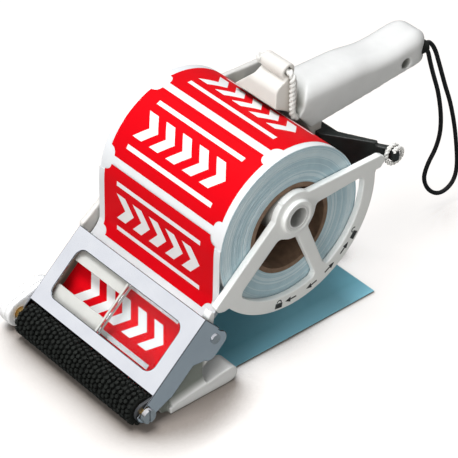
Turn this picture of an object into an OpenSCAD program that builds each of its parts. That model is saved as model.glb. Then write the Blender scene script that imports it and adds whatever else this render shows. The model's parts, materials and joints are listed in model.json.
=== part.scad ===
// Hand label dispenser: a pull-along applicator that feeds labels off a roll, peels them
// over an edge and presses them down with a knobbly front roller.
// X runs along the roll's axis, -Y is the front with the roller, +Y the handle, Z is up.

/* [Label roll] */
// Width of the label stock
label_w = 110; // [106:1:110]
// Outer diameter of the wound labels
roll_d = 106; // [90:1:107]
// Outer diameter of the cardboard core
core_d = 60; // [58:1:62]
// Wall of the cardboard core
core_wall = 3; // [2.5:0.5:3.5]

/* [Front roller and cover] */
// Diameter of the rubber press roller over its knobs
roller_d = 21; // [20:0.5:21]
// Length of the rubber on the press roller
roller_w = 108; // [100:1:108]
// Width of the chrome cover over its two flanges
cover_w = 116.7; // [116.7:0.1:118]
// Length of the cover's face up its slope
cover_len = 53.2; // [52:0.2:53.2]
// Slope of the cover's face
cover_tilt = 42.8; // [42:0.2:43.4]
// Thickness of the cover's sheet
sheet_t = 1; // [0.8:0.1:1]
// Width of the cover's window
window_w = 95.5; // [80:0.5:96]
// Height of the cover's window
window_h = 34; // [28:0.5:35]
// Corner radius of the window
window_r = 6; // [3:0.5:8]

/* [Feed] */
// Teeth on the press roller's gear
teeth_roller = 18; // [18:1:18]
// Teeth on the idler gear
teeth_idler = 25; // [25:1:25]
// Teeth on the feed roller's gear
teeth_feed = 10; // [10:1:10]
// Gear module
gear_m = 0.8; // [0.8:0.1:0.8]
// Thickness of the label stock and its liner
stock_t = 0.4; // [0.3:0.1:0.4]

/* [Side wheel] */
// Outer radius of the wheel's rim
rim_r = 64.4; // [64:0.1:64.8]
// Width of the wheel's rim
rim_w = 9.2; // [8:0.2:10]
// Thickness of the wheel
wheel_t = 4.4; // [4:0.1:4.6]

/* [Handle] */
// Width of the handle
handle_w = 30.5; // [29:0.5:31]
// Radius along the handle's upper edges
handle_edge_r = 10.5; // [8:0.5:12]
// Radius of the cross hole for hanging the tool up
hang_hole_r = 3.6; // [3:0.1:3.7]
// Diameter of the wrist strap
strap_d = 3; // [2.5:0.5:3]
// Diameter of the white cord through the lug
cord_d = 4.4; // [3:0.2:4.4]
// Diameter of the white cord round the bow's tip
lash_d = 3; // [2.4:0.2:3]

/* [Hidden] */
$fn = 64;

// Outer faces that set the middle of the part
right_out = 62;
left_out = -71.5;
x_mid = (right_out + left_out) / 2;
handle_end = [198, 132.4];
handle_end_r = 12.8;
roller_axis = [-50.5, 10.6];
y_mid = (handle_end.x + handle_end_r + roller_axis.x - roller_d / 2) / 2;

// The roll hangs on the spindle, so its axis is below the spindle's
spindle_axis = [63.5, 96];
spindle_r = 15.2;
core_bore_r = core_d / 2 - core_wall;
hang_gap = 0.3;
roll_axis = [spindle_axis.x, spindle_axis.y - (core_bore_r - spindle_r - hang_gap)];

// Lower front edge of the cover's face
cover_edge = [-45.3, 20.7];
flange_out = cover_w / 2;
flange_in = flange_out - sheet_t;
cheek_in = 51;
cheek_out = 55;
bearing_end = 53.6;
bearing_gap = 0.1;
left_in = -60.4;
left_panel = -64.4;
stock_right = 50.3;
stock_x = [stock_right - label_w, stock_right];
roller_right = 54.5;
roller_x = [roller_right - roller_w, roller_right];
bracket_out = 57;
bush_r = 4;
bush_end = 58.9;
hinge_r = 6.4;
shaft_r = 2.5;
run_gap = 0.06;
window_mid = [-0.4, 25.8];
ear_pin = [1, 39];
lip_depth = 4;

// Gear centres
roller_pitch_r = gear_m * teeth_roller / 2;
idler_pitch_r = gear_m * teeth_idler / 2;
feed_pitch_r = gear_m * teeth_feed / 2;
idler_line = 6;
feed_line = -16;
idler_axis = roller_axis + (roller_pitch_r + idler_pitch_r) * unit(idler_line);
feed_axis = idler_axis + (idler_pitch_r + feed_pitch_r) * unit(feed_line);
feed_r = roller_d / 2 * teeth_feed / teeth_roller;
pressure_r = 3.5;
nip_angle = 55;
nip_gap = stock_t + 0.6;
pressure_axis = feed_axis + (feed_r + pressure_r + nip_gap) * unit(nip_angle);
pressure_angle = 25;
gear_x = [-68, -65.6];
case_x = [-68.6, left_panel];
case_out = -69.8;

// Depths below the cover's face
bed_depth = 15;
bed_t = 2;
peel_t = 1.2;
bed_up = [12, 60];
peel_up = -3.4;

function unit(a) = [cos(a), sin(a)];
function rot2(p, a) = [p.x * cos(a) - p.y * sin(a), p.x * sin(a) + p.y * cos(a)];
// Point at a distance up the cover's slope and a depth below its face
function slope(up, depth) = cover_edge + rot2([up, -depth], cover_tilt);
function arc(c, r, a0, a1, n = 12) = [for (i = [0 : n]) c + r * unit(a0 + (a1 - a0) * i / n)];

// Wheel outline
wheel_in = 50.7;
wheel_x = [wheel_in, wheel_in + wheel_t];
spindle_end = wheel_in - 0.3;
rim_axis = [62.5, 95];
hub_r = 15.8;
collar_r = 10.8;
collar_end = 58;
hub_bore_r = 8.46;
hub_bush_r = 8.4;
pin_r = 7.6;
pin_bore_r = 6.3;
pin_end = 57.8;

// Screws and rivets
screw_r = 1.55;
screw_hole_r = 1.6;
screw_head_r = 3;
screw_head_t = 1.4;
rivet_r = 1.57;
rivet_in = 52;
spindle_screw_r = 2.95;
spindle_hole_r = 3;
case_screw_r = 1.3;
case_hole_r = 1.33;

// Handle outline: its front underside follows a circle about the roll's axis
neck_r = 62.5;
neck_turn = [31.5, 50.9];
handle_heel = roll_axis + neck_r * unit(neck_turn[0]);
handle_brow = roll_axis + neck_r * unit(neck_turn[1]);
handle_low = [205, 125.4];
handle_top = handle_end.y + handle_end_r;
crown_r = handle_top - handle_brow.y;
handle_right = 17;
handle_mid = handle_right - handle_w / 2;
end_r = 14.2;
end_edge_r = 9;
lip_r = 56;
lip_turn = 34.8;
handle_wall = 3;
hang_hole = [188, 129.4];
grommet_at = [10.5, 131.5];
grommet_r = 4.2;
grommet_start = 202;
grommet_end = 208.6;

// Bridge behind the roll
lug_axis = [96, 158.3];
lug_r = 5;
lug_half = 10;
lug_bore_r = 2.6;
bridge_half = 11;
bridge_clear_r = 56.5;
bridge_low = 92;
bridge_back = 124;

// Route of the white cord: from its knot through the lug and down into the handle
cord_route = [
    [-12.6, 96, 157.2], [-11, 96, 158], [-8, 96, 158.3], [0, 96, 158.3], [8, 96, 158.3],
    [11, 96, 158.2], [13, 96, 156.8], [13.7, 96, 153.5], [13.7, 96.1, 147], [13.7, 96.2, 140],
    [13.7, 96.3, 134.5], [13.7, 96.9, 130.2], [13.7, 98.8, 127.6], [13.7, 101.5, 127], [13.7, 106, 127]
];
cord_hole = [13.7, 98, 127];
cord_hole_r = 2.5;
cord_hole_len = 12;

// One and a half turns of cord round the bow's tip
lash_axis = [142.8, 102.6];
lash_r = 5.6;
lash_x = 50.2;
lash_step = 0.5;
lash_turn = [-60, 45];
lash_count = 12;
lash_route = [for (i = [0 : lash_count])
    let (p = lash_axis + lash_r * unit(lash_turn[0] + i * lash_turn[1])) [lash_x + i * lash_step, p.x, p.y]];

// Route of the wrist strap, from the grommet round the loop and back
strap_route = [
    [10.5, 208.6, 133.4], [11, 212.5, 132.2], [11.5, 217, 125.5], [12, 221.5, 113.5], [12, 228.5, 95],
    [12, 234.5, 80], [12, 240, 62], [12, 244, 44], [12, 246.5, 27], [12, 245.5, 17],
    [12, 241, 11.5], [12, 233.5, 10], [12, 226, 13.5], [12, 219.5, 21], [12, 216.5, 30],
    [12, 219, 39], [12, 224.5, 48], [12, 227.5, 58], [12, 227.5, 69], [12, 225.5, 81],
    [12, 222, 94], [11.5, 217.5, 107], [11, 214, 118], [10.8, 211.5, 126], [10.5, 208.6, 129.6]
];

// Move from the measuring frame to the part's own frame
module place() {
    translate([-x_mid, -y_mid, 0]) children();
}

// Extrude a side outline along X
module side(x0, x1) {
    translate([x0, 0, 0]) rotate([90, 0, 90]) linear_extrude(x1 - x0) children();
}

// Round bar along X
module rod(at, r, x0, x1) {
    translate([x0, at.x, at.y]) rotate([0, 90, 0]) cylinder(r = r, h = x1 - x0);
}

// Round tube along X
module tube(at, r, bore, x0, x1) {
    difference() {
        rod(at, r, x0, x1);
        rod(at, bore, x0 - 1, x1 + 1);
    }
}

// Work in the cover's own slope, with z out of its face
module on_slope() {
    translate([0, cover_edge.x, cover_edge.y]) rotate([cover_tilt, 0, 0]) children();
}

// Two discs and the straight sides that join them
module link(c1, r1, c2, r2) {
    run = c2 - c1;
    away = acos((r1 - r2) / norm(run));
    line = atan2(run.y, run.x);
    translate(c1) circle(r1);
    translate(c2) circle(r2);
    polygon([
        c1 + r1 * unit(line + away), c1 + r1 * unit(line - away),
        c2 + r2 * unit(line - away), c2 + r2 * unit(line + away)
    ]);
}

module rounded_rect(w, h, r) {
    square([w - 2 * r, h], center = true);
    square([w, h - 2 * r], center = true);
    for (sx = [-1, 1], sy = [-1, 1])
        translate([sx * (w / 2 - r), sy * (h / 2 - r)]) circle(r);
}

// Involute spur gear outline with one tooth on the angle given
tooth_add = 0.8;
tooth_ded = 1;
backlash = 0.12;
flank_steps = 4;
function involute(a) = tan(a) * 180 / PI - a;
function half_tooth(r, rp, z) =
    90 / z - backlash / rp * 90 / PI + involute(pressure_angle)
    - involute(acos(min(1, rp * cos(pressure_angle) / r)));
function flank_radii(rp) =
    let (r0 = max(rp * cos(pressure_angle), rp - tooth_ded * gear_m), r1 = rp + tooth_add * gear_m)
    [for (i = [0 : flank_steps]) r0 + (r1 - r0) * i / flank_steps];
function tooth(a, rp, z) =
    let (root = rp - tooth_ded * gear_m, rs = flank_radii(rp), wide = half_tooth(rs[0], rp, z))
    concat(
        [root * unit(a - wide)],
        [for (r = rs) r * unit(a - half_tooth(r, rp, z))],
        [for (i = [flank_steps : -1 : 0]) rs[i] * unit(a + half_tooth(rs[i], rp, z))],
        [root * unit(a + wide)]
    );
module gear(at, z, turn, bore) {
    rp = gear_m * z / 2;
    points = [for (i = [0 : z - 1]) each tooth(turn + 360 * i / z, rp, z)];
    difference() {
        side(gear_x[0], gear_x[1]) translate(at) polygon(points);
        rod(at, bore, gear_x[0] - 1, gear_x[1] + 1);
    }
}
// Angles that set the three gears in mesh
idler_pitch = 360 / teeth_idler;
idler_turn = idler_line + 180 + idler_pitch / 2;
tooth_off = feed_line - idler_turn - idler_pitch * round((feed_line - idler_turn) / idler_pitch);
feed_turn = feed_line + 180 + tooth_off * teeth_idler / teeth_feed + 180 / teeth_feed;

// Thin strip of stock along a side outline
function heading(p, i) =
    let (a = p[max(0, i - 1)], b = p[min(len(p) - 1, i + 1)]) (b - a) / norm(b - a);
function strip(p, t) = concat(
    [for (i = [0 : len(p) - 1]) p[i] + t / 2 * [-heading(p, i).y, heading(p, i).x]],
    [for (i = [len(p) - 1 : -1 : 0]) p[i] - t / 2 * [-heading(p, i).y, heading(p, i).x]]
);

// Round cord swept through its route on a smooth curve
cord_sides = 8;
function spline(a, b, c, d, t) =
    0.5 * (2 * b + (c - a) * t + (2 * a - 5 * b + 4 * c - d) * t * t
    + (3 * b - a - 3 * c + d) * t * t * t);
function smooth(p) = let (n = len(p) - 1) concat(
    [for (i = [0 : n - 1], t = [0, 0.5])
        spline(p[max(0, i - 1)], p[i], p[i + 1], p[min(n, i + 2)], t)],
    [p[n]]
);
function ring(at, along, r, ref) =
    let (u = cross(along, ref) / norm(cross(along, ref)), v = cross(u, along))
    [for (k = [0 : cord_sides - 1])
        let (turn = 360 * k / cord_sides) at + r * (cos(turn) * u + sin(turn) * v)];
module cord(route, d, ref) {
    p = smooth(route);
    n = len(p);
    rings = [for (i = [0 : n - 1]) each ring(p[i], heading(p, i), d / 2, ref)];
    walls = [for (i = [0 : n - 2], k = [0 : cord_sides - 1])
        let (a = i * cord_sides + k, b = i * cord_sides + (k + 1) % cord_sides)
        each [[a, a + cord_sides, b], [b, a + cord_sides, b + cord_sides]]];
    last = (n - 1) * cord_sides;
    ends = [for (k = [1 : cord_sides - 2]) each [[0, k, k + 1], [last, last + k + 1, last + k]]];
    polyhedron(points = rings, faces = concat(walls, ends), convexity = 6);
}

// Main moulding at the front: right cheek, cross bar, right foot and the wheel's front stop
foot_x = [44, 58.5];
stop_out = 56.5;
pressure_shaft_r = 1.5;
cross_bar = [[-5, 21], [7, 21], [7, 33], [3, 36], [-5, 29]];
wheel_stop = [[-3.8, 48], [1, 48.3], [2.2, 56], [-0.6, 58.3], [-3, 55]];
cheek_outline = [
    [-36, 0], [-5, 0], [-5, 18], [3, 24], [8.5, 31], [6, 38], [1, 48.5], slope(49, 3), slope(2, 3),
    [-38.2, 12], [-37.5, 4]
];
foot_end = [13.4, 5.5];
foot_outline = concat([[-32, 0]], arc(foot_end, foot_end.y, -90, 98, 10), [[-32.6, 4.6]]);
// Inner half of the foot, which the liner passes under
foot_inner = concat([[-5, 5.4], [4, 3.2]], arc(foot_end, foot_end.y, -30, 98, 8), [[-5, 8.4]]);
module shaft_holes(x0, x1) {
    rod(feed_axis, shaft_r + run_gap, x0, x1);
    rod(pressure_axis, pressure_shaft_r + run_gap, x0, x1);
}
module front_body() {
    color("whitesmoke") place() difference() {
        union() {
            side(cheek_in, cheek_out) polygon(cheek_outline);
            side(left_in, cheek_in + 1) polygon(cross_bar);
            side(cheek_in, foot_x[1]) polygon(foot_outline);
            side(foot_x[0], cheek_in + 1) polygon(foot_inner);
            side(cheek_in, stop_out) polygon(wheel_stop);
        }
        shaft_holes(cheek_in - 1, bearing_end + bearing_gap);
        for (at = bracket_holes) rod(at, screw_hole_r, rivet_in, cheek_out + 1);
    }
}

// Closed left side: it carries the spindle, the bridge, the gear case and the rear rest
panel_outline = concat(
    [[-36, 0], [-37.5, 4], [-38.2, 12], slope(2, 9), slope(50, 9), [-2.6, 54.2], [11.4, 64], [24, 78],
     [46, 109.5]],
    arc([56, 103], 13, 140, 95, 4),
    [[134, 114]], arc([137, 105], 9, 90, -20, 6),
    [[132, 92], [131, 70], [140, 26]], arc([146, 6], 6, 60, 0, 4), [[152, 0]]
);
boss_r = 20;
boss_out = -68;
module left_side_frame() {
    color("whitesmoke") place() difference() {
        union() {
            side(left_panel, left_in) {
                polygon(panel_outline);
                polygon(case_outline(case_wall));
            }
            rod(spindle_axis, boss_r, boss_out, left_in);
        }
        rod(spindle_axis, spindle_hole_r, boss_out - 1, left_in + 1);
        rod(roller_axis, bush_r + 0.02, left_panel - 1, left_in + 1);
        rod(idler_axis, idler_pin_r + 0.02, left_panel - 1, left_in + 1);
        shaft_holes(left_panel - 1, left_in + 1);
        for (at = case_screw_at) rod(at, case_hole_r, left_panel - 1, case_screw_end);
        for (at = rest_screws) rod(at, screw_hole_r, left_panel - 1, left_in + 1);
    }
}
rest_screws = [[144.5, 4.5], [149, 4.5]];
rest_end = 5;
rest_head_r = 2.1;
rest_screw_end = -51;
rest_outline = concat([[141, 0], [152, 0]], arc([146.5, 4], 5.5, 0, 180, 10));
module rear_rest() {
    color("whitesmoke") place() difference() {
        side(left_in, rest_end) polygon(rest_outline);
        for (at = rest_screws) rod(at, screw_hole_r, left_in - 1, rest_screw_end);
    }
}
module rest_bolts() {
    color("silver") place() for (at = rest_screws) {
        rod(at, screw_r, left_panel, rest_screw_end);
        rod(at, rest_head_r, left_panel - screw_head_t, left_panel);
    }
}

// Bridge behind the roll, with the block and the cord's lug
bridge_front_z = 136.5;
bridge_low_turn = asin((bridge_low - roll_axis.y) / bridge_clear_r);
bridge_front_turn = asin((bridge_front_z - roll_axis.y) / bridge_clear_r);
neck_steps = 8;
neck_step = (neck_turn[1] - neck_turn[0]) / neck_steps;
neck_arc = arc(roll_axis, neck_r, neck_turn[1], neck_turn[0], neck_steps);
bridge_outline = concat(
    arc([91, 146.5], 5.4, 180, 110, 6), arc([95.5, 147.5], 7.4, 95, 10, 8), [[handle_brow.x, 145]],
    neck_arc, [[bridge_back, handle_heel.y], [bridge_back, bridge_low]],
    arc(roll_axis, bridge_clear_r, bridge_low_turn, bridge_front_turn, 16)
);
bridge_front_view = [
    [bridge_half, bridge_low], [bridge_half, 160], [-bridge_half, 160],
    [-bridge_half, 150.5], [left_in, 104], [left_in, bridge_low]
];
bridge_reach = [50, 200];
module rear_bridge() {
    color("whitesmoke") place() difference() {
        union() {
            intersection() {
                side(left_in, bridge_half) polygon(bridge_outline);
                translate([0, bridge_reach[1], 0]) rotate([90, 0, 0])
                    linear_extrude(bridge_reach[1] - bridge_reach[0]) polygon(bridge_front_view);
            }
            rod(lug_axis, lug_r, -lug_half, lug_half);
        }
        rod(lug_axis, lug_bore_r, -lug_half - 1, lug_half + 1);
        for (x = bow_screw_x)
            translate([x, bridge_back + 1, bow_screw_z])
                rotate([90, 0, 0]) cylinder(r = screw_hole_r, h = bow_screw_grip + 1.5);
    }
}

// Black bow that catches the wheel's rear tip
bow_screw_x = [-2, 6];
bow_screw_z = 100;
bow_screw_grip = 4;
bow_back = 128.5;
bow_z = [86, 108];
bow_outline = [
    [-7, bridge_back], [11.2, bridge_back], [11.2, 118], [15, 118.1], [42, 136.8], [43.5, 139],
    [42, 140.4], [20, bow_back], [-7, bow_back]
];
tip_z = [99.4, 105.8];
tip_outline = [[38, 134.6], [42, 137.2], [49, 140.6], [56.5, 140.6], [56.5, 145], [48, 145], [38, 138.8]];
module latch_bow() {
    color("#1c1f1e") place() difference() {
        union() {
            translate([0, 0, bow_z[0]]) linear_extrude(bow_z[1] - bow_z[0]) polygon(bow_outline);
            translate([0, 0, tip_z[0]]) linear_extrude(tip_z[1] - tip_z[0]) polygon(tip_outline);
        }
        for (x = bow_screw_x)
            translate([x, bow_back + 1, bow_screw_z])
                rotate([90, 0, 0]) cylinder(r = screw_hole_r, h = bow_back - bridge_back + 2);
    }
}
module bow_screws() {
    color("silver") place() for (x = bow_screw_x) translate([x, bow_back, bow_screw_z]) {
        rotate([90, 0, 0]) cylinder(r = screw_r, h = bow_back - bridge_back + bow_screw_grip);
        rotate([-90, 0, 0]) cylinder(r = screw_head_r, h = screw_head_t);
    }
}

// Handle in two pieces: the upper shell and the plate that closes it below
handle_slope = atan2(handle_low.y - handle_heel.y, handle_low.x - handle_heel.x);
handle_outline = concat(
    arc(roll_axis, lip_r, neck_turn[1], lip_turn, neck_steps),
    [handle_low], arc(handle_end, handle_end_r, -15, 90, 12),
    arc(handle_brow + [crown_r, 0], crown_r, 90, 172, 8), [handle_brow]
);
// Room for the bridge's back: its arc, one step longer at each end
handle_pocket = concat([roll_axis],
    arc(roll_axis, neck_r, neck_turn[1] + neck_step, neck_turn[0] - neck_step, neck_steps + 2));
blank_low = 100;
blank_fn = 40;
module rounded_top(half, low, top, r) {
    translate([-half, low]) square([2 * half, top - r - low]);
    translate([-half + r, low]) square([2 * (half - r), top - low]);
    for (s = [-1, 1]) translate([s * (half - r), top - r]) circle(r);
}
// Slice of the handle's section at a distance along it
module handle_slice(y, len, half, top, r) {
    translate([handle_mid, y + len, 0]) rotate([90, 0, 0])
        linear_extrude(len) rounded_top(half, blank_low, top, r);
}
// Smooth bar that runs from the full section at the front to a round end
blank_start = 98;
module handle_blank() {
    hull() {
        handle_slice(blank_start, 1, handle_w / 2, handle_top, handle_edge_r, $fn = blank_fn);
        translate([handle_mid, handle_end.x + handle_end_r - end_r, 0]) rotate_extrude($fn = blank_fn)
            intersection() {
                rounded_top(end_r, blank_low, handle_top, end_edge_r);
                translate([0, blank_low]) square([end_r, handle_top - blank_low]);
            }
    }
}
cavity_low = 112;
cavity_y = [121, 193];
cavity_top = 141;
cavity_end_z = 136;
cavity_outline = [
    [cavity_y[0], cavity_low], [cavity_y[1], cavity_low], [cavity_y[1], cavity_end_z],
    [188, cavity_top], [cavity_y[0], cavity_top]
];
handle_plate_t = 2.5;
plate_y = [121.1, 181.5];
handle_post_r = 4;
handle_post_len = 40;
handle_screw_y = [130, 175];
handle_screw_len = 14;
handle_screw_sink = 0.4;
handle_hole_top = 139.5;
hang_boss_t = 2.5;
function handle_low_at(y) = handle_heel.y + (y - handle_heel.x) * tan(handle_slope);
module handle_cavity() {
    half = handle_w / 2 - handle_wall;
    intersection() {
        side(handle_mid - half, handle_mid + half) polygon(cavity_outline);
        handle_slice(cavity_y[0] - 1, cavity_y[1] - cavity_y[0] + 2, half, cavity_top,
            handle_edge_r - handle_wall);
    }
}
module handle_shell() {
    x = [handle_mid - handle_w / 2, handle_right];
    color("white") place() difference() {
        intersection() {
            handle_blank();
            side(x[0], x[1]) polygon(handle_outline);
        }
        side(x[0] - 1, bridge_half) polygon(handle_pocket);
        translate(cord_hole) rotate([-90, 0, 0]) cylinder(r = cord_hole_r, h = cord_hole_len);
        difference() {
            handle_cavity();
            rod(hang_hole, hang_hole_r + hang_boss_t, x[0], x[1]);
            for (y = handle_screw_y)
                translate([handle_mid, y, handle_low_at(y) + handle_plate_t + 0.6])
                    cylinder(r = handle_post_r, h = handle_post_len);
        }
        rod(hang_hole, hang_hole_r, x[0] - 1, x[1] + 1);
        for (y = handle_screw_y)
            translate([handle_mid, y, cavity_low])
                cylinder(r = screw_hole_r, h = handle_hole_top - cavity_low);
        translate([grommet_at.x, grommet_start, grommet_at.y])
            rotate([-90, 0, 0]) cylinder(r = grommet_r + 0.02, h = 20);
    }
}
module handle_bottom() {
    half = handle_w / 2 - handle_wall - 0.1;
    color("whitesmoke") place() difference() {
        side(handle_mid - half, handle_mid + half) polygon([
            for (y = plate_y) [y, handle_low_at(y)],
            for (i = [1, 0]) [plate_y[i], handle_low_at(plate_y[i]) + handle_plate_t]
        ]);
        for (y = handle_screw_y)
            translate([handle_mid, y, cavity_low])
                cylinder(r = screw_hole_r, h = handle_hole_top - cavity_low);
    }
}
module handle_screws() {
    color("silver") place() for (y = handle_screw_y)
        translate([handle_mid, y, handle_low_at(y) - handle_screw_sink]) {
        cylinder(r = screw_r, h = handle_screw_len);
        translate([0, 0, -screw_head_t]) cylinder(r = screw_head_r, h = screw_head_t);
    }
}
module strap_grommet() {
    color("#202020") place() translate([grommet_at.x, grommet_start, grommet_at.y])
        rotate([-90, 0, 0]) cylinder(r = grommet_r, h = grommet_end - grommet_start);
}

// Spindle that the roll hangs on
spindle_wall = 3;
spindle_head_r = 6.5;
spindle_end_t = 5;
module spindle_tube() {
    color("whitesmoke") place() difference() {
        union() {
            rod(spindle_axis, spindle_r, left_in, spindle_end);
            rod(spindle_axis, pin_r, spindle_end - 1, pin_end);
        }
        rod(spindle_axis, spindle_r - spindle_wall, left_in + spindle_end_t, spindle_end - spindle_end_t);
        rod(spindle_axis, pin_bore_r, spindle_end - spindle_end_t - 1, pin_end + 1);
        rod(spindle_axis, spindle_hole_r, left_in - 1, left_in + spindle_end_t + 1);
    }
}
module spindle_screw() {
    color("silver") place() {
        rod(spindle_axis, spindle_screw_r, boss_out, left_in + spindle_end_t + 2);
        rod(spindle_axis, spindle_head_r, boss_out - 3, boss_out);
    }
}

// Gear case on the left, its cover and the fixed pin of the idler
case_wall = 1.4;
tip_gap = 0.3;
case_r = [for (z = [teeth_roller, teeth_idler, teeth_feed]) gear_m * (z / 2 + tooth_add) + tip_gap];
feed_screw_reach = 8.4;
case_screw_at = [for (turn = [85, -10]) feed_axis + feed_screw_reach * unit(turn)];
case_lobe_r = 2.9;
// Belt line round the three gears: an arc at each, joined by straight tangents
case_axes = [roller_axis, idler_axis, feed_axis];
function run_turn(i) = let (run = case_axes[i + 1] - case_axes[i]) atan2(run.y, run.x);
function away(i) = acos((case_r[i] - case_r[i + 1]) / norm(case_axes[i + 1] - case_axes[i]));
function case_outline(grow) =
    let (
        high = [for (i = [0, 1]) run_turn(i) + away(i)],
        low = [for (i = [0, 1]) run_turn(i) - away(i) + 360]
    )
    concat(
        arc(case_axes[0], case_r[0] + grow, high[0], low[0], 16),
        arc(case_axes[1], case_r[1] + grow, low[0], low[1], 4),
        arc(case_axes[2], case_r[2] + grow, low[1], high[1] + 360, 14),
        arc(case_axes[1], case_r[1] + grow, high[1] + 360, high[0] + 360, 8)
    );
module case_lobes() {
    for (at = case_screw_at) translate(at) circle(case_lobe_r);
}
module gear_case() {
    color("whitesmoke") place() difference() {
        side(case_x[0], case_x[1]) {
            polygon(case_outline(case_wall));
            case_lobes();
        }
        side(case_x[0] - 1, case_x[1] + 1) polygon(case_outline(0));
        for (at = case_screw_at) rod(at, case_hole_r, case_x[0] - 1, case_x[1] + 1);
    }
}
case_screw_end = -62;
idler_pin_r = 1.98;
nose_r = 7.4;
module gear_case_cover() {
    color("whitesmoke") place() difference() {
        union() {
            side(case_out, case_x[0]) {
                polygon(case_outline(case_wall));
                case_lobes();
            }
            rod(roller_axis, nose_r, left_out, case_x[0]);
        }
        for (at = case_screw_at) rod(at, case_hole_r, case_out - 1, case_x[0] + 1);
    }
}
module case_screws() {
    color("silver") place() for (at = case_screw_at) rod(at, case_screw_r, case_out, case_screw_end);
}
module idler_pin() {
    color("silver") place() rod(idler_axis, idler_pin_r, case_x[0], left_in);
}

// Bed under the window and the steel edge that the labels peel over
module label_bed() {
    color("gainsboro") place() on_slope()
        translate([left_in, bed_up[0], -bed_depth - bed_t])
            cube([spindle_end - left_in, bed_up[1] - bed_up[0], bed_t]);
}
module peel_plate() {
    color("silver") place() on_slope()
        translate([left_in, peel_up, -bed_depth - peel_t])
            cube([cheek_in - left_in, bed_up[0] - peel_up, peel_t]);
}

// Bracket and bushes that carry the press roller
bracket_eye_r = 6.3;
bracket_foot = [-32.5, 15];
bracket_foot_r = 4.5;
bracket_tip = [-27, 20];
bracket_tip_r = 4;
bracket_holes = [[-33.5, 14], [-28, 19]];
module roller_bracket() {
    color("#26282a") place() difference() {
        side(cheek_out, bracket_out) {
            link(roller_axis, bracket_eye_r, bracket_foot, bracket_foot_r);
            link(bracket_foot, bracket_foot_r, bracket_tip, bracket_tip_r);
        }
        rod(roller_axis, bush_r + 0.02, cheek_out - 1, bracket_out + 1);
        for (at = bracket_holes) rod(at, screw_hole_r, cheek_out - 1, bracket_out + 1);
    }
}
module bracket_rivets() {
    color("silver") place() for (at = bracket_holes) rod(at, rivet_r, rivet_in, bracket_out);
}
bush_in = 54.7;
bush_left_in = -56.8;
bush_collar_r = 5.6;
bush_collar_t = 0.4;
module bush(x0, x1, collar0, collar1) {
    difference() {
        union() {
            rod(roller_axis, bush_r, x0, x1);
            rod(roller_axis, bush_collar_r, collar0, collar1);
        }
        rod(roller_axis, shaft_r + run_gap, x0 - 1, x1 + 1);
    }
}
module bush_right() {
    color("goldenrod") place() bush(bush_in, bush_end, bush_in, cheek_out);
}
module bush_left() {
    color("goldenrod") place() bush(left_panel, bush_left_in, bush_left_in - bush_collar_t, bush_left_in);
}

// Label stock: from the roll to the peeling edge, then the bare liner back to the floor
web_gap = 0.4;
stock_lift = 0.5;
web_y = roll_axis.x - roll_d / 2 - web_gap;
web_path = concat(
    arc(roll_axis, roll_d / 2 + web_gap, 172, 180, 3),
    [[web_y, 58], [web_y - 0.2, 54.6], [web_y - 1.2, 52.2]],
    [slope(58, bed_depth - stock_lift), slope(peel_up, bed_depth - stock_lift)]
);
module label_web() {
    color("crimson") place() side(stock_x[0], stock_x[1]) polygon(strip(web_path, stock_t));
}
tail_start = 10;
tail_lift = 0.05;
tail_len = 128;
liner_path = concat(
    [slope(peel_up, bed_depth - stock_lift), slope(-4.2, bed_depth - 0.1), slope(-4.5, bed_depth + 0.6),
     slope(-4.2, bed_depth + 1.4), slope(-3.2, bed_depth + 1.8)],
    arc(feed_axis, feed_r + nip_gap / 2, 118, 52, 8),
    [[-4, 3.8], [1, 1.3], [6, 0.4], [tail_start, tail_lift + stock_t / 2]]
);
module liner_strip() {
    color("lightblue") place() side(stock_x[0], stock_x[1]) polygon(strip(liner_path, stock_t));
}
module liner_tail() {
    color("lightblue") place()
        translate([stock_x[0], tail_start, tail_lift]) cube([label_w, tail_len, stock_t]);
}

module elastic_cord() {
    color("white") place() {
        cord(cord_route, cord_d, [0.35, 0.8, -0.5]);
        cord(lash_route, lash_d, [1, 0, 0]);
    }
}
module wrist_strap() {
    color("#181818") place() cord(strap_route, strap_d, [1, 0, 0]);
}

// Chrome cover that swings forward about the press roller's bushes
hinge_at = rot2(roller_axis - cover_edge, -cover_tilt);
ear_at = rot2(ear_pin - cover_edge, -cover_tilt);
right_shoulder = [7, -8];
right_shoulder_r = 7.5;
right_side = [[0, 0], [cover_len, 0], [cover_len, -15.5], [4, -15.5], [0, -8]];
ear_outline = [
    [26, -15], [cover_len - 1, -15], [cover_len - 1, -22], [46, -27.7], [36, -27.7], [32, -22]
];
ear_lobes = [[47, -21.6], [38, -22]];
ear_lobe_r = [6.1, 5.7];
left_shoulder = [5, -5.5];
left_shoulder_r = 5.5;
left_side = [[0, 0], [cover_len, 0], [cover_len, -8], [6, -10.5], [0, -8]];
module above_face() {
    translate([-cover_len, 0]) square([3 * cover_len, cover_len]);
}
module right_flange() {
    difference() {
        union() {
            link(hinge_at, hinge_r, right_shoulder, right_shoulder_r);
            polygon(right_side);
            polygon(ear_outline);
            for (i = [0, 1]) translate(ear_lobes[i]) circle(ear_lobe_r[i]);
        }
        above_face();
        translate(hinge_at) circle(bush_r + run_gap);
        translate(ear_at) circle(screw_hole_r);
    }
}
module left_flange() {
    difference() {
        union() {
            link(hinge_at, hinge_r, left_shoulder, left_shoulder_r);
            polygon(left_side);
        }
        above_face();
        translate(hinge_at) circle(bush_r + run_gap);
    }
}
module front_cover() {
    color("gainsboro") place() on_slope() {
        difference() {
            translate([-flange_out, 0, -sheet_t]) cube([cover_w, cover_len, sheet_t]);
            translate([window_mid.x, window_mid.y, -sheet_t - 1])
                linear_extrude(sheet_t + 2) rounded_rect(window_w, window_h, window_r);
        }
        translate([-flange_out, cover_len - sheet_t, -lip_depth]) cube([cover_w, sheet_t, lip_depth]);
        side(flange_in, flange_out) right_flange();
        side(-flange_out, -flange_in) left_flange();
    }
}
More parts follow.
